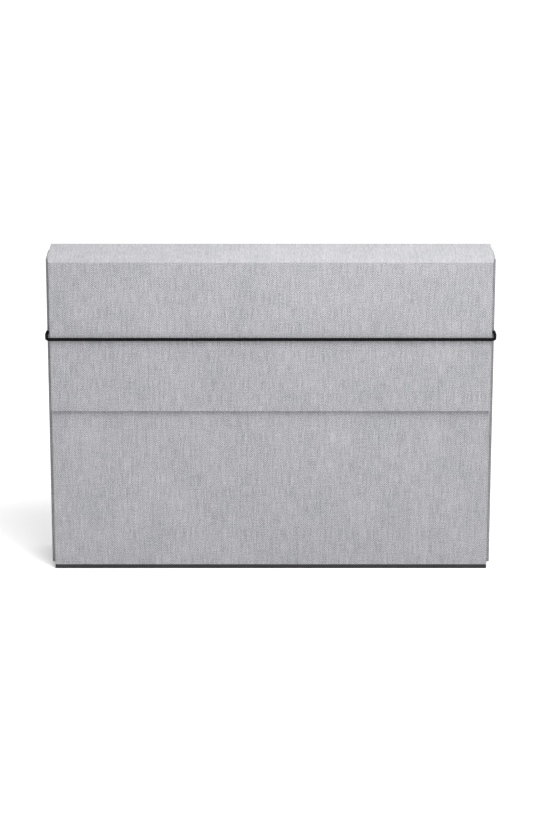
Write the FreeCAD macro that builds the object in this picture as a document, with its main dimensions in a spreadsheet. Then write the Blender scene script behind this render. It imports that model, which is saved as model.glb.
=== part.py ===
import FreeCAD, Part
import Sketcher
import math
import os

# A cloth-covered archival box that stands on its long edge: a front shell and a rear shell of
# covered board on a dark base board, a lid hinged on cloth along its back edge, a flap hinged on
# cloth along the lid's front edge, and a round elastic that holds the flap shut.
#
# Frame: +Z up, the front looks along -Y, X runs across the box. The origin is the middle of the
# bottom of the whole box, elastic included. Millimetres.

SIZES = [
    # alias, value, meaning
    ("front_width", 330.0, "width of the front wall and of the flap"),
    ("box_height", 242.8, "from the floor to the top of the lid"),
    ("box_depth", 56.0, "from the flap's face to the back"),
    ("flap_drop", 115.8, "from the top of the lid to the flap's lower edge"),
    ("board", 1.3, "thickness of the board"),
    ("cloth", 0.3, "thickness of the book cloth"),
    ("lining", 0.15, "thickness of the lining paper"),
    ("base_thickness", 3.2, "thickness of the dark base board"),
    ("flap_gap", 0.5, "air between the flap and the front wall"),
    ("lid_gap", 0.3, "air under the lid and in front of its board"),
    ("shell_gap", 0.2, "play between the front shell and the rear shell"),
    ("shell_foot", 0.4, "height at which the rear shell and side strips end"),
    ("shell_front", 17.4, "from the flap's face to the front edge of the rear shell's sides"),
    ("strip_width", 27.0, "width of the side strip, front to back"),
    ("strip_thickness", 1.3, "thickness of the side strip"),
    ("hinge_reach", 3.0, "how far a hinge cloth reaches on to the next face"),
    ("lining_inset", 2.0, "margin round the lining of the lid and flap"),
    ("cord_diameter", 2.4, "diameter of the elastic"),
    ("cord_gap", 0.05, "clearance of the elastic, in its holes and on the cloth"),
    ("cord_height", 183.7, "height of the elastic"),
    ("cord_hole", 20.5, "from the flap's face to the holes of the elastic"),
    ("cord_lift", 1.25, "from the rear shell to the elastic's centre line, at its hole"),
    ("cord_crest", 1.5, "the same distance where the elastic stands out most"),
    ("crest_back", 11.0, "from the flap's face back to that place"),
    ("cord_ease", 12.0, "radius of the elastic's slight bend there"),
    ("cord_reach", 2.2, "how far the elastic's corner stands out past the flap's edge"),
    ("cord_bend", 2.7, "radius of the elastic's bend at the flap's edge"),
    ("turn_in", 12.0, "cloth turned in over the top of the walls, above the lining"),
    ("knot_width", 5.6, "diameter of the knot at each end of the elastic"),
    ("knot_length", 4.6, "length of the knot at each end of the elastic"),
    ("knot_gap", 0.35, "from the lining to the knot"),
]

# Derived sizes and places, as expressions on the sheet. The thickness of a covered board:
COVERED = "(Sizes.board + Sizes.cloth + Sizes.lining)"
SKIN = "(Sizes.board + Sizes.cloth)"

# Planes across the box, from the middle outwards.
X_FRONT_SHELL = "(Sizes.front_width / 2)"
X_RETURN = f"({X_FRONT_SHELL} - Sizes.cloth)"
X_LINING = f"({X_FRONT_SHELL} - {SKIN})"
X_INSIDE = f"({X_FRONT_SHELL} - {COVERED})"
X_SIDE_INNER = f"({X_FRONT_SHELL} + Sizes.shell_gap)"
X_SIDE = f"({X_SIDE_INNER} + Sizes.board)"
X_REAR_SHELL = f"({X_SIDE} + Sizes.cloth)"
X_STRIP = f"({X_REAR_SHELL} + Sizes.strip_thickness)"
X_CORD = f"({X_REAR_SHELL} + Sizes.cord_lift)"
X_CREST = f"({X_REAR_SHELL} + Sizes.cord_crest)"
X_KNOT = f"({X_INSIDE} - Sizes.knot_gap)"

# Planes from front to back.
Y_FLAP = "((Sizes.cord_gap + Sizes.cord_diameter - Sizes.box_depth) / 2)"
Y_BACK = "((Sizes.cord_gap + Sizes.cord_diameter + Sizes.box_depth) / 2)"
Y_CORD = f"({Y_FLAP} - Sizes.cord_gap - Sizes.cord_diameter / 2)"
Y_FRONT = f"({Y_FLAP} + {COVERED} + Sizes.flap_gap)"
Y_FRONT_BOARD = f"({Y_FRONT} + Sizes.cloth)"
Y_FRONT_LINING = f"({Y_FRONT} + {SKIN})"
Y_INSIDE_FRONT = f"({Y_FRONT} + {COVERED})"
Y_INSIDE_BACK = f"({Y_BACK} - {COVERED})"
Y_BACK_LINING = f"({Y_BACK} - {SKIN})"
Y_BACK_BOARD = f"({Y_BACK} - Sizes.cloth)"
Y_SHELL_FRONT = f"({Y_FLAP} + Sizes.shell_front)"
Y_STRIP_BACK = f"({Y_SHELL_FRONT} + Sizes.strip_width)"
Y_LID_FRONT = f"({Y_FLAP} + {COVERED} + Sizes.lid_gap)"
Y_EYE = f"({Y_FLAP} + Sizes.cord_hole)"
Y_CREST = f"({Y_FLAP} + Sizes.crest_back)"

# Planes from the floor up.
Z_TOP = "Sizes.box_height"
Z_BOARD_TOP = f"({Z_TOP} - Sizes.cloth)"
Z_LID_LINING = f"({Z_TOP} - {SKIN})"
Z_LID_UNDER = f"({Z_TOP} - {COVERED})"
Z_WALL_TOP = f"({Z_LID_UNDER} - Sizes.lid_gap)"
Z_LINING_TOP = f"({Z_WALL_TOP} - Sizes.turn_in)"
Z_FLAP_LOW = f"({Z_TOP} - Sizes.flap_drop)"
Z_HINGE_LOW = f"({Z_TOP} - Sizes.hinge_reach)"
Z_FLOOR = "Sizes.base_thickness"
Z_LINED_FLOOR = f"({Z_FLOOR} + Sizes.lining)"

# A cutting tool runs this far past the faces that it opens.
OVERRUN = "1"

PARTS = []


def make_sheet(doc):
    """The spreadsheet that holds every driving dimension."""
    sheet = doc.addObject("Spreadsheet::Sheet", "Sizes")
    for row, (alias, value, meaning) in enumerate(SIZES, start=1):
        sheet.set(f"A{row}", alias)
        sheet.set(f"B{row}", str(value))
        sheet.set(f"C{row}", meaning)
        sheet.setAlias(f"B{row}", alias)
    doc.recompute()
    return sheet


def value_of(doc, expression):
    """The number that an expression on the sheet comes to."""
    return float(doc.Sizes.evalExpression(expression))


def bind(item, **expressions):
    """Bind properties of one object; a double underscore stands for a dot."""
    for path, expression in expressions.items():
        item.setExpression(path.replace("__", "."), expression)


def keep(item, name):
    """Register an object as a finished piece under its own name."""
    item.Label = name
    PARTS.append(item)
    return item


def negative(expression):
    return f"-{expression}"


def across(outer, inner, sign):
    """The low and high X of a layer on one side of the box."""
    if sign > 0:
        return inner, outer
    return negative(outer), negative(inner)


def block(doc, name, low, high):
    """A box between two corners, each corner three expressions."""
    box = doc.addObject("Part::Box", name)
    for size, start, low_edge, high_edge in zip(("Length", "Width", "Height"), "xyz", low, high):
        box.setExpression(size, f"{high_edge} - {low_edge}")
        box.setExpression(f"Placement.Base.{start}", low_edge)
    return box


def cut(doc, name, base, tool):
    result = doc.addObject("Part::Cut", name)
    result.Base = base
    result.Tool = tool
    return result


def cord_bore(doc):
    """One long cylinder that opens every layer that the elastic passes through."""
    bore = doc.addObject("Part::Cylinder", "cord_bore")
    bore.Placement.Rotation = FreeCAD.Rotation(FreeCAD.Vector(0, 1, 0), 90)
    bind(
        bore,
        Radius="Sizes.cord_diameter / 2 + Sizes.cord_gap",
        Height=f"2 * {X_STRIP} + 2 * {OVERRUN}",
        Placement__Base__x=f"-{X_STRIP} - {OVERRUN}",
        Placement__Base__y=Y_EYE,
        Placement__Base__z="Sizes.cord_height",
    )
    return bore


def origin_plane(body, role):
    return next(item for item in body.Origin.OriginFeatures if item.Role == role)


def outline_sketch(doc, body, name, role, offset, corners, hole=None):
    """A closed outline on an origin plane, every corner held by expressions.

    offset moves the sketch along the plane's normal. hole is an optional circle, given as the
    expressions of its centre and radius.
    """
    sketch = body.newObject("Sketcher::SketchObject", name)
    sketch.AttachmentSupport = [(origin_plane(body, role), "")]
    sketch.MapMode = "FlatFace"
    sketch.setExpression("AttachmentOffset.Base.z", offset)
    points = [
        FreeCAD.Vector(value_of(doc, across_value), value_of(doc, up_value), 0)
        for across_value, up_value in corners
    ]
    count = len(points)
    for index, point in enumerate(points):
        sketch.addGeometry(Part.LineSegment(point, points[(index + 1) % count]))
    for index in range(count):
        sketch.addConstraint(Sketcher.Constraint("Coincident", index, 2, (index + 1) % count, 1))
    for index, (across_value, up_value) in enumerate(corners):
        hold_point(sketch, index, 1, points[index], across_value, up_value)
    if hole:
        across_value, up_value, radius = hole
        centre = FreeCAD.Vector(value_of(doc, across_value), value_of(doc, up_value), 0)
        circle = Part.Circle(centre, FreeCAD.Vector(0, 0, 1), value_of(doc, radius))
        index = sketch.addGeometry(circle)
        hold_point(sketch, index, 3, centre, across_value, up_value)
        row = sketch.addConstraint(Sketcher.Constraint("Radius", index, value_of(doc, radius)))
        sketch.setExpression(f"Constraints[{row}]", radius)
    return sketch


def hold_point(sketch, index, end, point, across_value, up_value):
    """Hold one point of a sketch at two bound distances from the sketch's origin."""
    for kind, number, expression in (
        ("DistanceX", point.x, across_value),
        ("DistanceY", point.y, up_value),
    ):
        row = sketch.addConstraint(Sketcher.Constraint(kind, -1, 1, index, end, number))
        sketch.setExpression(f"Constraints[{row}]", expression)


def padded(doc, name, role, offset, corners, thickness, hole=None):
    """A flat piece: an outline on an origin plane, padded by its thickness along the normal."""
    body = doc.addObject("PartDesign::Body", name)
    sketch = outline_sketch(doc, body, f"{name}_outline", role, offset, corners, hole)
    pad = body.newObject("PartDesign::Pad", f"{name}_pad")
    pad.Profile = sketch
    pad.setExpression("Length", thickness)
    body.Tip = pad
    return body


def rectangle(low, high):
    """The four corners of a rectangle, from its low and high corner."""
    return [(low[0], low[1]), (high[0], low[1]), (high[0], high[1]), (low[0], high[1])]


CORD_HOLE = (Y_EYE, "Sizes.cord_height", "(Sizes.cord_diameter / 2 + Sizes.cord_gap)")


def make_base(doc):
    """The dark board that the box stands on, and the paper on the floor inside."""
    outline = rectangle((negative(X_FRONT_SHELL), Y_FRONT), (X_FRONT_SHELL, Y_BACK_LINING))
    keep(padded(doc, "base", "XY_Plane", "0", outline, Z_FLOOR), "base_board")
    floor = block(
        doc,
        "floor_paper",
        (negative(X_INSIDE), Y_INSIDE_FRONT, Z_FLOOR),
        (X_INSIDE, Y_INSIDE_BACK, Z_LINED_FLOOR),
    )
    keep(floor, "floor_lining")


def make_front_shell(doc, bore):
    """Front wall, its two side returns, the cloth round them and the paper inside the box."""
    height = f"({Z_WALL_TOP} - {Z_FLOOR})"
    outline = rectangle((negative(X_RETURN), Y_FRONT_BOARD), (X_RETURN, Y_FRONT_LINING))
    keep(padded(doc, "front", "XY_Plane", Z_FLOOR, outline, height), "front_board")

    for side, sign in (("left", -1), ("right", 1)):
        low, _ = across(X_RETURN, X_LINING, sign)
        outline = rectangle((Y_FRONT_LINING, Z_FLOOR), (Y_BACK_LINING, Z_WALL_TOP))
        board = padded(
            doc, f"{side}_return", "YZ_Plane", low, outline, "Sizes.board", CORD_HOLE
        )
        keep(board, f"{side}_return_board")

    outer = block(
        doc,
        "front_cloth_outer",
        (negative(X_FRONT_SHELL), Y_FRONT, Z_FLOOR),
        (X_FRONT_SHELL, Y_BACK_LINING, Z_WALL_TOP),
    )
    inner = block(
        doc,
        "front_cloth_inner",
        (negative(X_RETURN), Y_FRONT_BOARD, f"({Z_FLOOR} - {OVERRUN})"),
        (X_RETURN, f"({Y_BACK_LINING} + {OVERRUN})", f"({Z_WALL_TOP} + {OVERRUN})"),
    )
    skin = cut(doc, "front_cloth_skin", outer, inner)
    keep(cut(doc, "front_cloth_pierced", skin, bore), "front_cloth")

    outer = block(
        doc,
        "lining_outer",
        (negative(X_LINING), Y_FRONT_LINING, Z_FLOOR),
        (X_LINING, Y_BACK_LINING, Z_LINING_TOP),
    )
    inner = block(
        doc,
        "lining_inner",
        (negative(X_INSIDE), Y_INSIDE_FRONT, f"({Z_FLOOR} - {OVERRUN})"),
        (X_INSIDE, Y_INSIDE_BACK, f"({Z_LINING_TOP} + {OVERRUN})"),
    )
    ring = cut(doc, "lining_ring", outer, inner)
    keep(cut(doc, "lining_pierced", ring, bore), "wall_lining")


def make_rear_shell(doc, bore):
    """Back wall, its two sides outside the front shell, and the cloth round all three."""
    height = f"({Z_WALL_TOP} - Sizes.shell_foot)"
    outline = rectangle((negative(X_SIDE), Y_BACK_LINING), (X_SIDE, Y_BACK_BOARD))
    keep(padded(doc, "back", "XY_Plane", "Sizes.shell_foot", outline, height), "back_board")

    for side, sign in (("left", -1), ("right", 1)):
        low, _ = across(X_SIDE, X_SIDE_INNER, sign)
        outline = rectangle((Y_SHELL_FRONT, "Sizes.shell_foot"), (Y_BACK_LINING, Z_WALL_TOP))
        board = padded(doc, f"{side}_side", "YZ_Plane", low, outline, "Sizes.board", CORD_HOLE)
        keep(board, f"{side}_side_board")

    outer = block(
        doc,
        "rear_cloth_outer",
        (negative(X_REAR_SHELL), Y_SHELL_FRONT, "Sizes.shell_foot"),
        (X_REAR_SHELL, Y_BACK, Z_WALL_TOP),
    )
    inner = block(
        doc,
        "rear_cloth_inner",
        (negative(X_SIDE), f"({Y_SHELL_FRONT} - {OVERRUN})", f"(Sizes.shell_foot - {OVERRUN})"),
        (X_SIDE, Y_BACK_BOARD, f"({Z_WALL_TOP} + {OVERRUN})"),
    )
    skin = cut(doc, "rear_cloth_skin", outer, inner)
    keep(cut(doc, "rear_cloth_pierced", skin, bore), "rear_cloth")


def make_side_strips(doc, bore):
    """The covered strip on each side, slotted from its front edge where the elastic lies."""
    radius = "(Sizes.cord_diameter / 2 + Sizes.cord_gap)"
    reach = f"({X_STRIP} + {OVERRUN})"
    slot = block(
        doc,
        "cord_slot",
        (negative(reach), f"({Y_SHELL_FRONT} - {OVERRUN})", f"(Sizes.cord_height - {radius})"),
        (reach, Y_EYE, f"(Sizes.cord_height + {radius})"),
    )
    for side, sign in (("left", -1), ("right", 1)):
        low, high = across(X_STRIP, X_REAR_SHELL, sign)
        plain = block(
            doc,
            f"{side}_strip_plain",
            (low, Y_SHELL_FRONT, "Sizes.shell_foot"),
            (high, Y_STRIP_BACK, Z_WALL_TOP),
        )
        pierced = cut(doc, f"{side}_strip_pierced", plain, bore)
        keep(cut(doc, f"{side}_strip_slotted", pierced, slot), f"{side}_side_strip")


def lid_outline(inset, front, back):
    """The lid from above between two planes: it narrows to the flap over its front part."""
    wide = f"({X_REAR_SHELL} - {inset})"
    narrow = f"({X_FRONT_SHELL} - {inset})"
    share = f"(({front} - {Y_FLAP}) / Sizes.shell_front)"
    at_front = f"({narrow} + ({wide} - {narrow}) * {share})"
    return [
        (negative(at_front), front),
        (at_front, front),
        (wide, Y_SHELL_FRONT),
        (wide, back),
        (negative(wide), back),
        (negative(wide), Y_SHELL_FRONT),
    ]


def make_lid(doc):
    """Lid board, its cloth with the two turned-down sides, its lining and the rear hinge."""
    back_edge = Y_BACK_BOARD
    outline = lid_outline("Sizes.cloth", Y_LID_FRONT, back_edge)
    board = padded(doc, "lid", "XY_Plane", Z_LID_LINING, outline, "Sizes.board")
    keep(board, "lid_board")

    front = f"({Y_FLAP} + Sizes.hinge_reach + {COVERED})"
    back = f"({Y_BACK} - Sizes.hinge_reach)"
    outer = padded(
        doc,
        "lid_cloth_outer",
        "XY_Plane",
        Z_LID_LINING,
        lid_outline("0", front, back),
        SKIN,
    )
    inner = padded(
        doc,
        "lid_cloth_inner",
        "XY_Plane",
        f"({Z_LID_LINING} - {OVERRUN})",
        lid_outline("Sizes.cloth", Y_LID_FRONT, back_edge),
        f"(Sizes.board + {OVERRUN})",
    )
    keep(cut(doc, "lid_cloth_tray", outer, inner), "lid_cloth")

    paper = block(
        doc,
        "lid_paper",
        (
            f"(Sizes.lining_inset - {X_FRONT_SHELL})",
            f"({Y_LID_FRONT} + Sizes.lining_inset)",
            Z_LID_UNDER,
        ),
        (
            f"({X_FRONT_SHELL} - Sizes.lining_inset)",
            f"({back_edge} - Sizes.lining_inset)",
            Z_LID_LINING,
        ),
    )
    keep(paper, "lid_lining")

    profile = [
        (back, Z_BOARD_TOP),
        (Y_BACK_BOARD, Z_BOARD_TOP),
        (Y_BACK_BOARD, Z_WALL_TOP),
        (Y_BACK, Z_WALL_TOP),
        (Y_BACK, Z_TOP),
        (back, Z_TOP),
    ]
    length = f"(2 * {X_REAR_SHELL})"
    hinge = padded(doc, "rear_hinge", "YZ_Plane", negative(X_REAR_SHELL), profile, length)
    keep(hinge, "rear_hinge_cloth")


def make_flap(doc):
    """Flap board, the cloth over its face and edges, its lining and the front hinge."""
    x_board = X_RETURN
    y_board = f"({Y_FLAP} + Sizes.cloth)"
    y_lining = f"({Y_FLAP} + {SKIN})"
    y_back = f"({Y_FLAP} + {COVERED})"
    z_board_low = f"({Z_FLAP_LOW} + Sizes.cloth)"
    height = f"({Z_BOARD_TOP} - {z_board_low})"
    outline = rectangle((negative(x_board), y_board), (x_board, y_lining))
    keep(padded(doc, "flap", "XY_Plane", z_board_low, outline, height), "flap_board")

    outer = block(
        doc,
        "flap_cloth_outer",
        (negative(X_FRONT_SHELL), Y_FLAP, Z_FLAP_LOW),
        (X_FRONT_SHELL, y_lining, Z_HINGE_LOW),
    )
    inner = block(
        doc,
        "flap_cloth_inner",
        (negative(x_board), y_board, z_board_low),
        (x_board, f"({y_lining} + {OVERRUN})", f"({Z_HINGE_LOW} + {OVERRUN})"),
    )
    keep(cut(doc, "flap_cloth_tray", outer, inner), "flap_cloth")

    paper = block(
        doc,
        "flap_paper",
        (
            f"(Sizes.lining_inset - {X_FRONT_SHELL})",
            y_lining,
            f"({Z_FLAP_LOW} + Sizes.lining_inset)",
        ),
        (
            f"({X_FRONT_SHELL} - Sizes.lining_inset)",
            y_back,
            f"({Z_BOARD_TOP} - Sizes.lining_inset)",
        ),
    )
    keep(paper, "flap_lining")

    y_reach = f"({Y_FLAP} + Sizes.hinge_reach + {COVERED})"
    profile = [
        (Y_FLAP, Z_HINGE_LOW),
        (y_board, Z_HINGE_LOW),
        (y_board, Z_BOARD_TOP),
        (y_reach, Z_BOARD_TOP),
        (y_reach, Z_TOP),
        (Y_FLAP, Z_TOP),
    ]
    length = f"(2 * {X_FRONT_SHELL})"
    hinge = padded(doc, "front_hinge", "YZ_Plane", negative(X_FRONT_SHELL), profile, length)
    keep(hinge, "front_hinge_cloth")


def rounded_path(points, radii):
    """Edges of a path through points, with a tangent arc of the given radius at each corner."""
    edges, start = [], points[0]
    for before, corner, after, radius in zip(points, points[1:], points[2:], radii):
        back = (before - corner).normalize()
        ahead = (after - corner).normalize()
        half_angle = back.getAngle(ahead) / 2
        reach = radius / math.tan(half_angle)
        centre = corner + (back + ahead).normalize() * (radius / math.sin(half_angle))
        middle = centre + (corner - centre).normalize() * radius
        edges.append(Part.LineSegment(start, corner + back * reach))
        edges.append(Part.Arc(corner + back * reach, middle, corner + ahead * reach))
        start = corner + ahead * reach
    edges.append(Part.LineSegment(start, points[-1]))
    return [edge.toShape() for edge in edges]


def elastic_path(doc):
    """The elastic's centre line from the left knot round the front to the right knot."""
    x_knot = value_of(doc, X_KNOT)
    x_cord = value_of(doc, X_CORD)
    x_corner = value_of(doc, f"{X_FRONT_SHELL} + Sizes.cord_reach")
    y_eye = value_of(doc, Y_EYE)
    x_crest = value_of(doc, X_CREST)
    y_crest = value_of(doc, Y_CREST)
    y_cord = value_of(doc, Y_CORD)
    height = value_of(doc, "Sizes.cord_height")
    eye_bend = value_of(doc, "Sizes.cord_lift")
    ease = value_of(doc, "Sizes.cord_ease")
    corner_bend = value_of(doc, "Sizes.cord_bend")
    places = [
        (x_knot, y_eye),
        (x_cord, y_eye),
        (x_crest, y_crest),
        (x_corner, y_cord),
    ]
    right = [FreeCAD.Vector(x, y, height) for x, y in places]
    left = [FreeCAD.Vector(-x, y, height) for x, y in reversed(places)]
    bends = [eye_bend, ease, corner_bend]
    path = Part.Wire(rounded_path(right + left, bends + bends[::-1]))
    print(f"elastic: length {path.Length:.1f}, bends of {eye_bend:.2f}, {corner_bend:.2f}")
    return path


def make_elastic(doc):
    """The round elastic and the knot at each end, inside the box."""
    path = elastic_path(doc)
    radius = value_of(doc, "Sizes.cord_diameter / 2")
    start = path.OrderedVertexes[0].Point
    circle = Part.Circle(start, FreeCAD.Vector(1, 0, 0), radius)
    section = Part.Wire([circle.toShape()])
    solid = path.makePipeShell([section], True, True)
    expected = path.Length * section.Edges[0].Length * radius / 2
    print(f"elastic: volume {solid.Volume:.1f}, section times length {expected:.1f}")
    cord = doc.addObject("Part::Feature", "elastic")
    cord.Shape = solid
    cord.Placement = FreeCAD.Placement()
    keep(cord, "elastic_cord")

    for side, sign in (("left", -1), ("right", 1)):
        barrel = doc.addObject("Part::Cylinder", f"{side}_knot_barrel")
        barrel.Placement.Rotation = FreeCAD.Rotation(FreeCAD.Vector(0, 1, 0), 90)
        low, _ = across(X_KNOT, f"({X_KNOT} - Sizes.knot_length)", sign)
        bind(
            barrel,
            Radius="Sizes.knot_width / 2",
            Height="Sizes.knot_length",
            Placement__Base__x=low,
            Placement__Base__y=Y_EYE,
            Placement__Base__z="Sizes.cord_height",
        )
        doc.recompute()
        knot = doc.addObject("Part::Fillet", f"{side}_knot_round")
        knot.Base = barrel
        softness = value_of(doc, "Sizes.knot_length * 0.35")
        rims = [
            (number, softness, softness)
            for number, edge in enumerate(barrel.Shape.Edges, start=1)
            if isinstance(edge.Curve, Part.Circle)
        ]
        knot.Edges = rims
        keep(knot, f"{side}_knot")


def check(doc):
    """Stop if any object failed or any piece is not one valid solid."""
    for item in doc.Objects:
        if "Invalid" in item.State or "Error" in item.State:
            raise RuntimeError(f"{item.Label} did not recompute: {item.State}")
    for item in PARTS:
        shape = item.Shape
        if shape.isNull() or not shape.isValid() or len(shape.Solids) != 1:
            raise RuntimeError(f"{item.Label} is not one valid solid")


def main():
    doc = FreeCAD.newDocument("archival_box")
    make_sheet(doc)
    bore = cord_bore(doc)
    make_base(doc)
    make_front_shell(doc, bore)
    make_rear_shell(doc, bore)
    make_side_strips(doc, bore)
    make_lid(doc)
    make_flap(doc)
    make_elastic(doc)
    doc.recompute()
    check(doc)
    os.makedirs("parts", exist_ok=True)
    for item in PARTS:
        box = item.Shape.BoundBox
        print(
            f"{item.Label:20s} volume {item.Shape.Volume:10.1f}"
            f"  x {box.XMin:8.2f} {box.XMax:8.2f}"
            f"  y {box.YMin:7.2f} {box.YMax:7.2f}  z {box.ZMin:7.2f} {box.ZMax:7.2f}"
        )
        item.Shape.exportStep(f"parts/{item.Label}.step")


main()
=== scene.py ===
import math

import bmesh
import bpy
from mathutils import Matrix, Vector


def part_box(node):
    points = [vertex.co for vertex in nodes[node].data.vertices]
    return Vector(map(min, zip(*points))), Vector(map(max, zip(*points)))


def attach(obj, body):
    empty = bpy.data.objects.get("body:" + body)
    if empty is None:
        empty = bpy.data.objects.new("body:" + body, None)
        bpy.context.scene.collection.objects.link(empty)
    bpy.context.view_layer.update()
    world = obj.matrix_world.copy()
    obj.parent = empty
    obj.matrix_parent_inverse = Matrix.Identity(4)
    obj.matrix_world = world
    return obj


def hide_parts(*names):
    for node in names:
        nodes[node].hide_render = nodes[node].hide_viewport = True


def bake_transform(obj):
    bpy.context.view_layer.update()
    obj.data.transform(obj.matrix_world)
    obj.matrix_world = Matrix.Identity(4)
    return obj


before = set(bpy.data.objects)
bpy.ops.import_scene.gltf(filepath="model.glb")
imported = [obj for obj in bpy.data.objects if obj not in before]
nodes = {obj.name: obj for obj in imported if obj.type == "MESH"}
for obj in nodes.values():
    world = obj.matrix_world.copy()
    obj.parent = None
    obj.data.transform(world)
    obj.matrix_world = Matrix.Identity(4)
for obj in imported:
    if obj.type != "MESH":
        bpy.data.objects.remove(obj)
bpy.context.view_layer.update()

MM = 0.001

# ---------------------------------------------------------------- places, from the CAD frame

lid_low, lid_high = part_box("lid_board")
_, lid_cloth_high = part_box("lid_cloth")
flap_low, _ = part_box("flap_cloth")
front_low, front_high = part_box("front_cloth")
_, front_board_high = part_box("front_board")
rear_low, rear_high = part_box("rear_cloth")
strip_low, strip_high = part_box("right_side_strip")
base_low, base_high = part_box("base_board")
cord_low, cord_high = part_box("elastic_cord")
knot_low, knot_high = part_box("right_knot")

TOP = lid_cloth_high.z
CLOTH = TOP - lid_high.z
FACE = flap_low.y
FLAP_LOW = flap_low.z
HALF_FRONT = front_high.x
HALF_REAR = rear_high.x
BACK = rear_high.y
WALL_TOP = front_high.z
FRONT = front_low.y
BOARD_AND_CLOTH = TOP - lid_low.z
LID_BACK_BOARD = lid_high.y
SHELL_FRONT = rear_low.y
REAR_WALL = BACK - front_high.y

CORD_RADIUS = (cord_high.z - cord_low.z) / 2
CORD_Z = (cord_high.z + cord_low.z) / 2
X_CORD = HALF_REAR + 1.25 * MM
X_CREST = HALF_REAR + 1.5 * MM
Y_CREST = FACE + 11.0 * MM
Y_CORD = cord_low.y + CORD_RADIUS
Y_EYE = (knot_low.y + knot_high.y) / 2
X_CORNER = HALF_FRONT + 2.2 * MM
CORNER_BEND = 2.7 * MM
EASE_BEND = 12.0 * MM
EYE_BEND = 1.25 * MM
HOLE = CORD_RADIUS + 0.05 * MM

# Roundings of the covered board.
FOLD = 0.34 * MM
EDGE = 0.33 * MM
TRIM = 0.16 * MM
CORNER = 1.0 * MM
STEPS = 4

# ---------------------------------------------------------------- camera


def make_camera():
    """A long lens that looks down on the box from straight in front."""
    data = bpy.data.cameras.new("camera")
    data.sensor_width = 36
    data.lens = 131.9
    camera = bpy.data.objects.new("camera", data)
    bpy.context.scene.collection.objects.link(camera)
    camera.location = (0.0002, FACE - 2.135, 0.8103)
    camera.rotation_euler = (math.radians(90 - 17.654), 0, 0)
    bpy.context.scene.camera = camera


make_camera()

# ---------------------------------------------------------------- material helpers


class Nodes:
    """A short way to write a node tree: every call adds one node and returns its output."""

    def __init__(self, name):
        self.material = bpy.data.materials.new(name)
        self.material.use_nodes = True
        self.tree = self.material.node_tree
        self.shader = self.tree.nodes["Principled BSDF"]

    def node(self, kind, inputs=None, output=0, **settings):
        item = self.tree.nodes.new(kind)
        for key, value in settings.items():
            setattr(item, key, value)
        for key, value in (inputs or {}).items():
            self.put(item.inputs[key], value)
        return item.outputs[output]

    def put(self, socket, value):
        if isinstance(value, bpy.types.NodeSocket):
            self.tree.links.new(value, socket)
        else:
            socket.default_value = value

    def math(self, operation, first, second=0.0):
        return self.node("ShaderNodeMath", {0: first, 1: second}, operation=operation)

    def noise(self, vector, scale, detail=2.0, roughness=0.5):
        values = {"Vector": vector, "Scale": scale, "Detail": detail, "Roughness": roughness}
        return self.node("ShaderNodeTexNoise", values)

    def stretch(self, vector, scale):
        return self.node("ShaderNodeMapping", {"Vector": vector, "Scale": scale})

    def remap(self, value, low, high, to_low, to_high):
        values = {0: value, 1: low, 2: high, 3: to_low, 4: to_high}
        return self.node("ShaderNodeMapRange", values)

    def mix(self, factor, first, second):
        item = self.tree.nodes.new("ShaderNodeMix")
        item.data_type = "RGBA"
        self.put(item.inputs[0], factor)
        self.put(item.inputs[6], first)
        self.put(item.inputs[7], second)
        return item.outputs[2]

    def bump(self, height, strength, distance):
        values = {"Height": height, "Strength": strength, "Distance": distance}
        return self.node("ShaderNodeBump", values)

    def dark(self, level, blueness):
        """A near-black colour from one level, a little bluer than grey."""
        blue = self.math("MULTIPLY", level, blueness)
        return self.node("ShaderNodeCombineColor", {0: level, 1: level, 2: blue})

    def finish(self, colour, roughness, normal=None, **fixed):
        self.put(self.shader.inputs["Base Color"], colour)
        self.put(self.shader.inputs["Roughness"], roughness)
        if normal is not None:
            self.put(self.shader.inputs["Normal"], normal)
        for key, value in fixed.items():
            self.shader.inputs[key.replace("_", " ")].default_value = value
        return self.material


def grey(level, tint=(1.0, 1.0, 1.0)):
    return tuple(level * part for part in tint) + (1.0,)


# ---------------------------------------------------------------- materials

# Half the pattern's period across and along the cloth, and its two shades.
WARP_PITCH = 0.94 * MM
WEFT_PITCH = 0.75 * MM
CLOTH_LEVEL = 0.241
COOL = grey(CLOTH_LEVEL, (0.975, 0.985, 1.04))
WARM = grey(CLOTH_LEVEL, (0.99, 0.975, 1.03))


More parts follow.
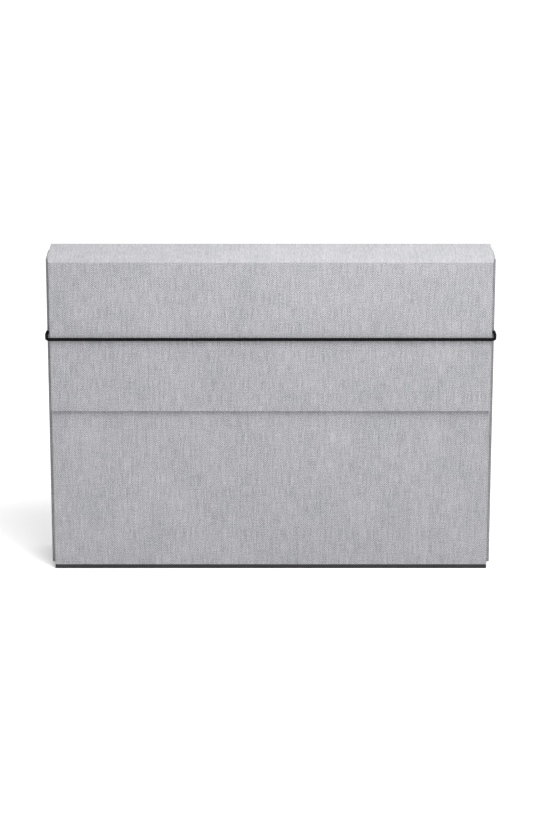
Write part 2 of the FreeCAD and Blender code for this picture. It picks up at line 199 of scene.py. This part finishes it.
def book_cloth():
    """Plain-woven book cloth: threads over and under, slubs, and a cloudy wash of tone.

    The texture space is in metres: u across the cloth, v along the warp.
    """
    n = Nodes("book_cloth")
    place = n.node("ShaderNodeUVMap", uv_map="cloth")
    wander = n.node(
        "ShaderNodeTexNoise", {"Vector": place, "Scale": 260.0, "Detail": 2.0}, output="Color"
    )
    shifted = n.node("ShaderNodeVectorMath", {0: wander, 1: (0.5, 0.5, 0.5)}, operation="SUBTRACT")
    small = n.node(
        "ShaderNodeVectorMath",
        {0: shifted, 1: (0.9 * MM, 0.9 * MM, 0.0)},
        operation="MULTIPLY",
    )
    bent = n.node("ShaderNodeVectorMath", {0: place, 1: small}, operation="ADD")
    axes = n.tree.nodes.new("ShaderNodeSeparateXYZ")
    n.put(axes.inputs[0], bent)
    warp = n.math("SINE", n.math("MULTIPLY", axes.outputs[0], math.pi / WARP_PITCH))
    weft = n.math("SINE", n.math("MULTIPLY", axes.outputs[1], math.pi / WEFT_PITCH))
    over = n.math("MULTIPLY", warp, weft)

    thread = n.noise(n.stretch(bent, (1050.0, 90.0, 1.0)), 1.0, 2.0)
    pick = n.noise(n.stretch(bent, (80.0, 1300.0, 1.0)), 1.0, 2.0)
    slub = n.noise(n.stretch(place, (520.0, 14.0, 1.0)), 1.0, 3.0)
    speck = n.noise(place, 1500.0, 2.0, 0.6)
    cloud = n.noise(place, 30.0, 3.0, 0.55)
    wash = n.noise(place, 9.0, 2.0, 0.5)

    tone = n.remap(over, -1.0, 1.0, -0.38, 0.38)
    for source, reach in (
        (thread, 0.22),
        (pick, 0.12),
        (slub, 0.09),
        (speck, 0.74),
        (cloud, 0.08),
        (wash, 0.05),
    ):
        tone = n.math("ADD", tone, n.remap(source, 0.2, 0.8, -reach, reach))
    level = n.math("ADD", tone, 1.0)
    base = n.mix(n.remap(cloud, 0.35, 0.65, 0.0, 1.0), COOL, WARM)
    colour = n.node(
        "ShaderNodeVectorMath", {0: base, 1: level}, operation="MULTIPLY"
    )
    height = n.math("ADD", n.math("ABSOLUTE", over), n.math("MULTIPLY", thread, 0.8))
    normal = n.bump(height, 0.45, 0.12 * MM)
    return n.finish(colour, n.remap(speck, 0.3, 0.7, 0.78, 0.95), normal,
                    Specular_IOR_Level=0.25, Sheen_Weight=0.12, Sheen_Roughness=0.6)


def dark_base_and_gap_shade():
    """The matt dark covering of the base board, made near black so that it also paints the shade
    of the gap under the box, with a fine grain and faint patches.
    """
    n = Nodes("dark_base_and_gap_shade")
    place = n.node("ShaderNodeTexCoord", output="Object")
    grain = n.noise(place, 1400.0, 3.0, 0.6)
    patch = n.noise(place, 60.0, 2.0)
    # Near black: the board's own dark colour, and painted shade for the gap under the box.
    level = n.remap(grain, 0.25, 0.75, 0.008, 0.021)
    level = n.math("ADD", level, n.remap(patch, 0.3, 0.7, -0.003, 0.004))
    colour = n.dark(level, 1.06)
    normal = n.bump(grain, 0.35, 0.08 * MM)
    return n.finish(colour, n.remap(grain, 0.3, 0.7, 0.62, 0.78), normal,
                    Specular_IOR_Level=0.3)


def lining_paper():
    """Off-white paper with faint fibres."""
    n = Nodes("lining_paper")
    place = n.node("ShaderNodeTexCoord", output="Object")
    fibre = n.noise(n.stretch(place, (900.0, 900.0, 260.0)), 1.0, 4.0, 0.65)
    patch = n.noise(place, 22.0, 2.0)
    factor = n.math("ADD", n.math("MULTIPLY", fibre, 0.7), n.math("MULTIPLY", patch, 0.3))
    shade = n.remap(factor, 0.3, 0.7, 0.0, 1.0)
    colour = n.mix(shade, (0.36, 0.352, 0.338, 1), (0.42, 0.414, 0.40, 1))
    return n.finish(colour, n.remap(fibre, 0.3, 0.7, 0.72, 0.88), n.bump(fibre, 0.25, 0.05 * MM))


STRANDS = 8
STRAND_PITCH = 0.9 * MM


def braid():
    """Black elastic: fine polyester strands over a rubber core."""
    n = Nodes("braided_elastic")
    place = n.node("ShaderNodeUVMap", uv_map="cloth")
    axes = n.tree.nodes.new("ShaderNodeSeparateXYZ")
    n.put(axes.inputs[0], place)
    turn = n.math("MULTIPLY", axes.outputs[0], STRANDS * 2 * math.pi)
    along = n.math("MULTIPLY", axes.outputs[1], 2 * math.pi / STRAND_PITCH)
    left = n.math("SINE", n.math("ADD", turn, along))
    right = n.math("SINE", n.math("SUBTRACT", turn, along))
    strands = n.math("MULTIPLY", left, right)
    fuzz = n.noise(place, 900.0, 3.0)
    level = n.remap(n.math("ADD", strands, fuzz), -0.6, 1.6, 0.001, 0.004)
    colour = n.dark(level, 1.05)
    normal = n.bump(strands, 0.5, 0.08 * MM)
    return n.finish(colour, n.remap(fuzz, 0.3, 0.7, 0.7, 0.85), normal,
                    Specular_IOR_Level=0.05)


CLOTH_MATERIAL = book_cloth()
BASE_MATERIAL = dark_base_and_gap_shade()
PAPER_MATERIAL = lining_paper()
BRAID_MATERIAL = braid()

# ---------------------------------------------------------------- mesh helpers


def smooth(obj, angle=40):
    """Smooth shading that keeps the flat faces flat."""
    obj.data.shade_smooth()
    obj.data.set_sharp_from_angle(angle=math.radians(angle))
    weighted = obj.modifiers.new("normals", "WEIGHTED_NORMAL")
    weighted.keep_sharp = True
    return obj


def piece(name, mesh, material):
    obj = bpy.data.objects.new(name, mesh)
    bpy.context.scene.collection.objects.link(obj)
    obj.data.materials.clear()
    obj.data.materials.append(material)
    return obj


def lay_flat(mesh, layer, faces):
    """Cloth space in metres from each face's own direction, warp upwards or front to back."""
    for face in faces:
        size = [abs(part) for part in face.normal]
        for corner in face.loop_indices:
            point = mesh.vertices[mesh.loops[corner].vertex_index].co
            if size[0] >= size[1] and size[0] >= size[2]:
                place = (point.y, point.z)
            elif size[1] >= size[2]:
                place = (point.x, point.z)
            else:
                place = (point.x, point.y)
            layer.data[corner].uv = place


def rounded_block(low, high, rounding, steps=3):
    """A block with every edge rounded, still open to editing."""
    work = bmesh.new()
    bmesh.ops.create_cube(work, size=1.0)
    size = Vector(high) - Vector(low)
    middle = (Vector(high) + Vector(low)) / 2
    for vertex in work.verts:
        vertex.co = Vector([part * length for part, length in zip(vertex.co, size)]) + middle
    bmesh.ops.bevel(
        work, geom=work.edges[:], offset=rounding, segments=steps, profile=0.5, affect="EDGES"
    )
    return work


def extruded(outline, along, rounding):
    """A flat outline carried along a direction, with every edge rounded."""
    work = bmesh.new()
    face = work.faces.new([work.verts.new(point) for point in outline])
    grown = bmesh.ops.extrude_face_region(work, geom=[face])
    moved = [item for item in grown["geom"] if isinstance(item, bmesh.types.BMVert)]
    bmesh.ops.translate(work, verts=moved, vec=along)
    bmesh.ops.recalc_face_normals(work, faces=work.faces)
    bmesh.ops.bevel(
        work, geom=work.edges[:], offset=rounding, segments=3, profile=0.5, affect="EDGES"
    )
    return work


def panel(name, work, material):
    """Turn an edited block into a smoothly shaded piece."""
    mesh = bpy.data.meshes.new(name)
    work.to_mesh(mesh)
    work.free()
    lay_flat(mesh, mesh.uv_layers.new(name="cloth"), mesh.polygons)
    return smooth(piece(name, mesh, material))


def loft(name, rings, material):
    """A closed skin through rings of points. Each ring is a list of (point, (u, v))."""
    count = len(rings[0])
    vertices = [point for ring in rings for point, _ in ring]
    faces, places = [], []
    for ring in range(len(rings) - 1):
        for index in range(count):
            after = (index + 1) % count
            faces.append((ring * count + index, ring * count + after,
                          (ring + 1) * count + after, (ring + 1) * count + index))
            close = rings[ring][index][1], rings[ring + 1][index][1]
            far = rings[ring][after][1], rings[ring + 1][after][1]
            places.append((close[0], far[0], far[1], close[1]))
    last = (len(rings) - 1) * count
    faces.append(tuple(reversed(range(count))))
    faces.append(tuple(range(last, last + count)))
    mesh = bpy.data.meshes.new(name)
    mesh.from_pydata(vertices, [], faces)
    layer = mesh.uv_layers.new(name="cloth")
    for face, corners in zip(mesh.polygons, places):
        for loop, place in zip(face.loop_indices, corners):
            layer.data[loop].uv = place
    lay_flat(mesh, layer, mesh.polygons[-2:])
    work = bmesh.new()
    work.from_mesh(mesh)
    bmesh.ops.recalc_face_normals(work, faces=work.faces)
    work.to_mesh(mesh)
    work.free()
    return smooth(piece(name, mesh, material))


def arc(centre, radius, start, end, steps):
    """Points of an arc, with the outward direction at each, by angles in degrees."""
    found = []
    for step in range(steps + 1):
        angle = math.radians(start + (end - start) * step / steps)
        out = (math.cos(angle), math.sin(angle))
        found.append(((centre[0] + radius * out[0], centre[1] + radius * out[1]), out))
    return found


def skin_section(half, depth, thickness, rounding):
    """The cloth in cross-section: flat over the face and turned down at both sides.

    Points are (x, depth below the outer face, unrolled distance from the middle).
    """
    quarter = math.pi / 2 * rounding
    right = [(0.0, 0.0, 0.0), (half - rounding - 0.5 * MM, 0.0, half - rounding - 0.5 * MM)]
    for step in range(STEPS + 1):
        angle = math.pi / 2 * step / STEPS
        x = half - rounding + rounding * math.sin(angle)
        across = half - rounding + quarter * step / STEPS
        right.append((x, rounding * (1 - math.cos(angle)), across))
    right.append((half, depth, half - rounding + quarter + depth - rounding))
    inner = rounding - thickness
    back = [(half - thickness, depth, half)]
    for step in range(STEPS, -1, -1):
        angle = math.pi / 2 * step / STEPS
        x = half - rounding + inner * math.sin(angle)
        back.append((x, rounding - inner * math.cos(angle), half - rounding))
    half_ring = right + back
    mirrored = [(-x, d, -u) for x, d, u in reversed(half_ring)]
    return half_ring[1:] + mirrored[:-1]


# ---------------------------------------------------------------- the cover of lid and flap


def lid_half_width(y):
    """The lid is as wide as the rear shell and narrows to the flap over its front part."""
    share = min(1.0, max(0.0, (y - FACE) / (SHELL_FRONT - FACE)))
    return HALF_FRONT + (HALF_REAR - HALF_FRONT) * share


def flank_depth(distance):
    """How far the cloth comes down an edge, less close to the fold so that it can bend."""
    full = BOARD_AND_CLOTH - 0.1 * MM
    least = EDGE + 0.04 * MM
    share = min(1.0, max(0.0, (distance - 1.0 * MM) / (2.0 * MM)))
    return least + (full - least) * share


def cover_stations():
    """Stations of the cover from the back of the lid, over the fold, to the flap's lower edge.

    Each is (y, z, inward direction, half width, depth of the flanks).
    """
    stations = []
    lid_start = BACK - FOLD
    fold_start = FACE + FOLD
    down = (0.0, -1.0)
    steps = [lid_start, 0.02, 0.01, 0.0, SHELL_FRONT, SHELL_FRONT - 6 * MM]
    steps += [fold_start + reach * MM for reach in (8, 4, 3, 2, 1, 0.5, 0.2)]
    for y in steps:
        stations.append((y, TOP, down, lid_half_width(y), flank_depth(y - FACE)))
    for (y, z), out in arc((fold_start, TOP - FOLD), FOLD, 90, 180, 8):
        inward = (-out[0], -out[1])
        stations.append((y, z, inward, lid_half_width(y), flank_depth(0.0)))
    backwards = (1.0, 0.0)
    drops = (0.2, 0.5, 1, 2, 3, 4, 8, 20, 40, 57, 80, 100)
    for drop in drops:
        z = TOP - FOLD - drop * MM
        stations.append((FACE, z, backwards, HALF_FRONT, flank_depth(TOP - z)))
    low = EDGE
    for (y, z), out in arc((FACE + low, FLAP_LOW + low), low, 180, 270, STEPS):
        inward = (-out[0], -out[1])
        share = (FACE + low - y) / low
        inset = low * (1 - math.sqrt(max(0.0, 1 - (1 - share) ** 2)))
        stations.append((y, z, inward, HALF_FRONT - inset, EDGE + 0.01 * MM))
    return stations


def make_cover():
    """One sheet of book cloth over lid and flap, with its turned-in lower edge."""
    rings, travelled, before = [], 0.0, None
    for y, z, inward, half, depth in cover_stations():
        if before is not None:
            travelled += math.hypot(y - before[0], z - before[1])
        before = (y, z)
        ring = []
        for x, deep, across in skin_section(half, depth, CLOTH, EDGE):
            point = (x, y + inward[0] * deep, z + inward[1] * deep)
            ring.append((point, (across, -travelled)))
        rings.append(ring)
    cover = loft("cover", rings, CLOTH_MATERIAL)
    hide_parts("lid_cloth", "flap_cloth", "front_hinge_cloth")
    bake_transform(cover)
    return cover


def tapered_panel(name, back, front, inset, z_low, z_high):
    """The lid's board with its turned-in cloth, seen when the lid is open."""
    outline = [
        (-lid_half_width(front) + inset, front),
        (lid_half_width(front) - inset, front),
        (HALF_REAR - inset, SHELL_FRONT),
        (HALF_REAR - inset, back),
        (-HALF_REAR + inset, back),
        (-HALF_REAR + inset, SHELL_FRONT),
    ]
    corners = [(x, y, z_low) for x, y in outline]
    work = extruded(corners, (0, 0, z_high - z_low), 0.3 * MM)
    return panel(name, work, CLOTH_MATERIAL)


def make_panels():
    """The boards of lid and flap in their turned-in cloth, behind the cover."""
    lid = tapered_panel(
        "lid_panel", LID_BACK_BOARD, lid_low.y, CLOTH, lid_low.z, TOP - CLOTH
    )
    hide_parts("lid_board")
    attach(lid, "lid")
    board_low, board_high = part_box("flap_board")
    edge = CLOTH - 0.02 * MM
    work = rounded_block((board_low.x, board_low.y, FLAP_LOW + edge), board_high, 0.3 * MM)
    flap = panel("flap_panel", work, CLOTH_MATERIAL)
    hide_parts("flap_board")
    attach(flap, "flap")


# ---------------------------------------------------------------- the two shells

# Half the width of the seam in the cloth's texture space, in the middle of each inner face.
SEAM = 0.01 * MM
# The rear hinge cloth: half its width, how far it laps down the back, and its sink there.
HINGE_HALF = HALF_REAR - CORNER - 0.4 * MM
HINGE_LAP = 6 * MM
HINGE_SINK = CLOTH + 0.02 * MM


def shell_ring(half, face, end, thickness, direction, z, inset, step):
    """A wall that runs round three sides, from above, as a closed ring of points.

    direction is -1 where the open side looks forwards and 1 where it looks backwards. inset
    takes the same amount off both faces of the wall. step presses the middle of the face in.
    """
    outer = half - inset
    front = face + direction * inset
    flat = half - CORNER - 0.3 * MM
    right = []
    if step:
        right += [(0.0, front + direction * step), (flat, front + direction * step)]
        right += [(flat, front)]
    else:
        right += [(0.0, front), (flat - 0.1 * MM, front), (flat, front)]
    start = -90 * direction
    centre = (outer - CORNER, front + direction * CORNER)
    right += [point for point, _ in arc(centre, CORNER, start, 0, STEPS + 1)]
    stop = end - direction * TRIM
    corners = ((half - TRIM, 0, 90), (half - thickness + TRIM, 90, 180))
    for x, begin, finish in corners:
        radius = TRIM * (1 - inset / EDGE) + 0.02 * MM
        turn = arc((x, stop), radius, begin * direction, finish * direction, 3)
        right += [point for point, _ in turn]
    inner = face + direction * (thickness - inset)
    right += [(half - thickness + inset, inner), (SEAM, inner)]
    left = [(-x, y) for x, y in reversed(right)]
    ring, travelled, before = [], 0.0, None
    points = right + left[:-1]
    for x, y in points:
        if before is not None:
            travelled += math.hypot(x - before[0], y - before[1])
        before = (x, y)
        ring.append(((x, y, z), (travelled, z)))
    # Both halves are laid out from the middle of the face, so that the warp is not mirrored.
    total = travelled + math.dist(points[-1], points[0])
    count = len(right)
    ring = [
        (point, (place[0] if index < count else place[0] - total, place[1]))
        for index, (point, place) in enumerate(ring)
    ]
    return ring


def rounded_levels(low, high, rounding):
    """Heights and insets that round the two ends of an upright wall."""
    levels = []
    for step in range(STEPS + 1):
        angle = math.pi / 2 * step / STEPS
        levels.append((low + rounding * (1 - math.sin(angle)), rounding * (1 - math.cos(angle))))
    levels = levels[::-1]
    for step in range(STEPS + 1):
        angle = math.pi / 2 * step / STEPS
        levels.append((high - rounding * (1 - math.sin(angle)), rounding * (1 - math.cos(angle))))
    return levels


def make_front_shell():
    """Front wall and side returns in one piece of cloth, turned in over the top edge."""
    thickness = front_board_high.y - FRONT
    rings = [
        shell_ring(HALF_FRONT, FRONT, front_high.y, thickness, 1, z, inset, 0.0)
        for z, inset in rounded_levels(front_low.z, WALL_TOP, EDGE)
    ]
    shell = loft("front_shell", rings, CLOTH_MATERIAL)
    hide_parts("front_cloth", "front_board", "left_return_board", "right_return_board")
    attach(shell, "box")


def make_rear_shell():
    """Back wall and its sides. Near the top the back is pressed in, under the hinge cloth."""
    thickness = REAR_WALL
    hinge_low = TOP - HINGE_LAP
    levels = rounded_levels(rear_low.z, WALL_TOP, EDGE)
    middle = len(levels) // 2
    stations = [(z, inset, 0.0) for z, inset in levels[:middle]]
    stations += [(hinge_low - 0.05 * MM, 0.0, 0.0), (hinge_low, 0.0, HINGE_SINK)]
    stations += [(z, inset, HINGE_SINK) for z, inset in levels[middle:]]
    rings = [
        shell_ring(HALF_REAR, BACK, SHELL_FRONT, thickness, -1, z, inset, step)
        for z, inset, step in stations
    ]
    shell = loft("rear_shell", rings, CLOTH_MATERIAL)
    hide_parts("rear_cloth", "back_board", "left_side_board", "right_side_board")
    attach(shell, "box")


def make_rear_hinge():
    """The strip of cloth that the lid turns on."""
    drops = [HINGE_LAP] + [reach * MM for reach in (4, 2.5, 1.5, 1)]
    stations = [(BACK, TOP - drop, (-1.0, 0.0)) for drop in drops]
    for (y, z), out in arc((BACK - FOLD, TOP - FOLD), FOLD, 0, 90, 8):
        stations.append((y, z, (-out[0], -out[1])))
    rings, travelled, before = [], 0.0, None
    for y, z, inward in stations:
        if before is not None:
            travelled += math.hypot(y - before[0], z - before[1])
        before = (y, z)
        ring = []
        for x, deep, across in skin_section(HINGE_HALF, CLOTH, CLOTH * 0.98, CLOTH):
            point = (x, y + inward[0] * deep, z + inward[1] * deep)
            ring.append((point, (across, TOP - HINGE_LAP + travelled)))
        rings.append(ring)
    hinge = loft("rear_hinge", rings, CLOTH_MATERIAL)
    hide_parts("rear_hinge_cloth")
    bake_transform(hinge)


# ---------------------------------------------------------------- strips, base and lining


def strip_outline():
    """The side strip from the side, with the slot that the elastic lies in."""
    outline = [
        (strip_low.y, CORD_Z + HOLE),
        (strip_low.y, strip_high.z),
        (strip_high.y, strip_high.z),
        (strip_high.y, strip_low.z),
        (strip_low.y, strip_low.z),
        (strip_low.y, CORD_Z - HOLE),
    ]
    return outline + [point for point, _ in arc((Y_EYE, CORD_Z), HOLE, -90, 90, 12)]


def make_strips():
    """The covered strip on each side, slotted from its front edge where the elastic lies."""
    for side, sign in (("left", -1), ("right", 1)):
        outline = [(sign * strip_low.x, y, z) for y, z in strip_outline()]
        work = extruded(outline, (sign * (strip_high.x - strip_low.x), 0, 0), TRIM)
        strip = panel(f"{side}_strip", work, CLOTH_MATERIAL)
        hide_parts(f"{side}_side_strip")
        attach(strip, "box")


def make_base():
    """The dark board under the box, near black so that it also paints the shade of the gap under
    the box.
    """
    work = rounded_block(base_low, base_high, 0.6 * MM, 4)
    base = panel("base", work, BASE_MATERIAL)
    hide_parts("base_board")
    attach(base, "box")


def paint_linings():
    for name in ("floor_lining", "wall_lining", "lid_lining", "flap_lining"):
        nodes[name].data.materials.clear()
        nodes[name].data.materials.append(PAPER_MATERIAL)


# ---------------------------------------------------------------- the elastic


def tube(name, points, radius, sides, material, relief=None):
    """A round skin along a path of points, square to it at every point."""
    rings, travelled = [], 0.0
    up = Vector((0, 0, 1))
    for index, point in enumerate(points):
        before = points[max(0, index - 1)]
        after = points[min(len(points) - 1, index + 1)]
        ahead = (after - before).normalized()
        if abs(ahead.dot(up)) > 0.95:
            up = Vector((1, 0, 0))
        side = ahead.cross(up).normalized()
        up = side.cross(ahead).normalized()
        if index:
            travelled += (point - points[index - 1]).length
        ring = []
        for corner in range(sides):
            angle = 2 * math.pi * corner / sides
            size = radius if relief is None else radius * relief(angle, travelled)
            offset = (side * math.cos(angle) + up * math.sin(angle)) * size
            ring.append((point + offset, (corner / sides, travelled)))
        rings.append(ring)
    return loft(name, rings, material)


def run(start, end, spacing):
    """Evenly spaced points from start up to but not including end."""
    start, end = Vector(start), Vector(end)
    count = max(1, round((end - start).length / spacing))
    return [start.lerp(end, step / count) for step in range(count)]


def rounded(corners, radii, spacing):
    """Points along a path, with an arc of the given radius at each inner corner."""
    points, start = [], corners[0]
    for before, corner, after, radius in zip(corners, corners[1:], corners[2:], radii):
        back = (before - corner).normalized()
        ahead = (after - corner).normalized()
        half_angle = back.angle(ahead) / 2
        reach = radius / math.tan(half_angle)
        centre = corner + (back + ahead).normalized() * (radius / math.sin(half_angle))
        first = (corner + back * reach - centre).normalized()
        last = (corner + ahead * reach - centre).normalized()
        points += run(start, centre + radius * first, spacing)
        count = max(2, round(radius * (math.pi - 2 * half_angle) / (0.6 * spacing)))
        points += [centre + radius * first.slerp(last, step / count) for step in range(count)]
        start = centre + radius * last
    return points + run(start, corners[-1], spacing) + [corners[-1]]


def elastic_points(spacing):
    """The elastic's centre line, from the left knot round the front to the right knot."""
    places = [
        (0.0, Y_CORD),
        (X_CORNER, Y_CORD),
        (X_CREST, Y_CREST),
        (X_CORD, Y_EYE),
        (knot_high.x, Y_EYE),
    ]
    corners = [Vector((x, y, CORD_Z)) for x, y in places]
    half = rounded(corners, (CORNER_BEND, EASE_BEND, EYE_BEND), spacing)
    mirrored = [Vector((-point.x, point.y, point.z)) for point in reversed(half)]
    return mirrored[:-1] + half


def braid_relief(angle, travelled):
    """The plaited strands stand a little proud of the core."""
    along = 2 * math.pi * travelled / (1.8 * MM)
    weave = math.sin(4 * angle + along) * math.sin(4 * angle - along)
    return 0.97 + 0.03 * weave


KNOT_SCALE = 0.52 * MM
KNOT_DEPTH = 1.0 * MM


def knot_points(sign):
    """An overhand knot, as a trefoil drawn tight, that fills the knot's space in the CAD."""
    middle = Vector(((knot_low.x + knot_high.x) / 2 * sign, Y_EYE, CORD_Z))
    found = []
    for step in range(97):
        turn = 2 * math.pi * step / 96
        around = math.sin(turn) + 2 * math.sin(2 * turn)
        across = math.cos(turn) - 2 * math.cos(2 * turn)
        over = -math.sin(3 * turn)
        offset = Vector((over * KNOT_DEPTH, around * KNOT_SCALE, across * KNOT_SCALE))
        found.append(middle + offset)
    return found


def make_elastic():
    cord = tube(
        "elastic",
        elastic_points(0.45 * MM),
        CORD_RADIUS,
        16,
        BRAID_MATERIAL,
        braid_relief,
    )
    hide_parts("elastic_cord")
    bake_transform(cord)
    for side, sign in (("left", -1), ("right", 1)):
        knot = tube(
            f"{side}_overhand_knot",
            knot_points(sign),
            CORD_RADIUS,
            12,
            BRAID_MATERIAL,
            braid_relief,
        )
        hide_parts(f"{side}_knot")
        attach(knot, "box")


# ---------------------------------------------------------------- floor and light

FLOOR_LEVEL = 0.86
FLOOR_REACH = 12.0
SKY = 1.09
KEY = 0.55
KEY_SPREAD = 14
KEY_AZIMUTH = 40
KEY_HEIGHT = 60
FILL = 4.75
FILL_SIZE = 0.5
FILL_PLACE = (0.12, -0.3, 0.66)


def make_floor():
    mesh = bpy.data.meshes.new("floor")
    turns = ((-1, -1), (1, -1), (1, 1), (-1, 1))
    corners = [(x * FLOOR_REACH, y * FLOOR_REACH, 0) for x, y in turns]
    mesh.from_pydata(corners, [], [(0, 1, 2, 3)])
    floor = bpy.data.objects.new("floor", mesh)
    bpy.context.scene.collection.objects.link(floor)
    n = Nodes("white_floor")
    mesh.materials.append(n.finish(grey(FLOOR_LEVEL), 1.0, Specular_IOR_Level=0.0))


def add_light(name, kind, energy, towards):
    """A light whose rays come from the given direction."""
    data = bpy.data.lights.new(name, kind)
    data.energy = energy
    lamp = bpy.data.objects.new(name, data)
    lamp.rotation_euler = towards.to_track_quat("Z", "Y").to_euler()
    bpy.context.scene.collection.objects.link(lamp)
    return lamp


def make_light():
    """A high sun from the front right, a soft box nearer by, and a pale studio all round."""
    world = bpy.data.worlds.new("studio")
    bpy.context.scene.world = world
    world.use_nodes = True
    background = world.node_tree.nodes["Background"]
    background.inputs["Color"].default_value = (1.0, 1.0, 1.0, 1.0)
    background.inputs["Strength"].default_value = SKY

    azimuth = math.radians(KEY_AZIMUTH)
    height = math.radians(KEY_HEIGHT)
    towards = Vector((math.sin(azimuth) * math.cos(height),
                      -math.cos(azimuth) * math.cos(height),
                      math.sin(height)))
    key = add_light("key", "SUN", KEY, towards)
    key.data.angle = math.radians(KEY_SPREAD)

    place = Vector(FILL_PLACE)
    fill = add_light("fill", "AREA", FILL, place - Vector((0, 0, TOP / 2)))
    fill.data.shape = "DISK"
    fill.data.size = FILL_SIZE
    fill.location = place
    fill.visible_camera = False
    bpy.context.scene.view_settings.view_transform = "Standard"


make_cover()
make_panels()
make_front_shell()
make_rear_shell()
make_rear_hinge()
make_strips()
make_base()
paint_linings()
make_elastic()
make_floor()
make_light()
